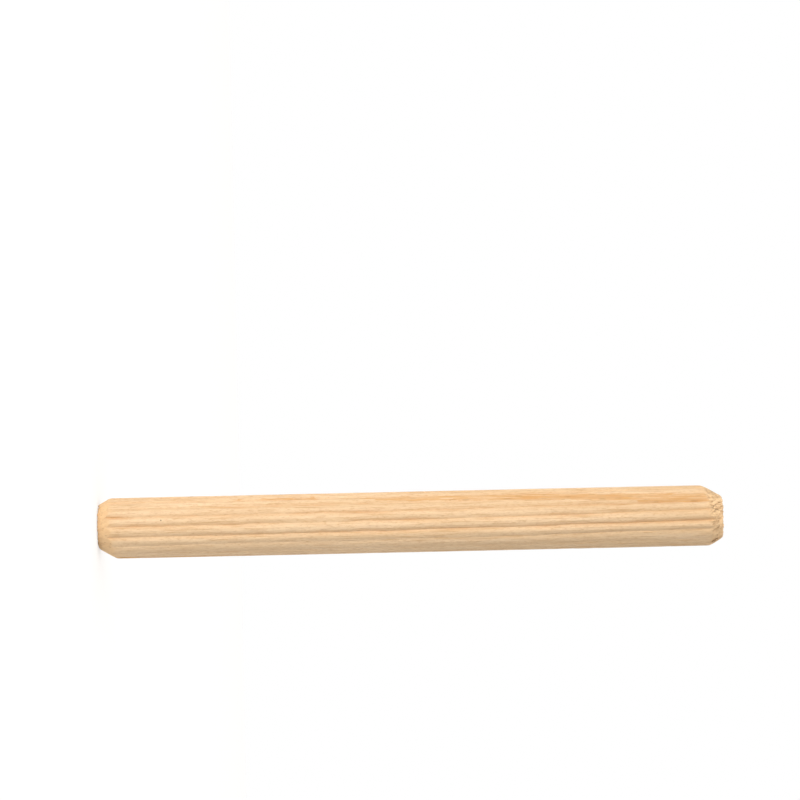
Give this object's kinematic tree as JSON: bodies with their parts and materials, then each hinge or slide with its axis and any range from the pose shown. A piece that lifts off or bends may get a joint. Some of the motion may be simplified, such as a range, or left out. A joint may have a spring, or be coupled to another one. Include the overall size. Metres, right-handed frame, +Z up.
{
  "type": "dowel pin",
  "caption": "Straight round wooden dowel pin with fine lengthwise flutes and chamfered ends, pressed and glued into drilled holes to join two boards.",
  "frame": {"origin": "on the pin's axis, in the plane of its lower end face", "axes": "+Z up along the pin's axis to its upper end; +X is the way that the upper end's chamfer stands off the axis"},
  "size_m": [0.0078, 0.0078, 0.08],
  "materials": {
    "wood": "raw pale hardwood, milled and fluted, unvarnished"
  },
  "bodies": {
    "root": {"dowel_pin": "wood"}
  },
  "joints": []
}
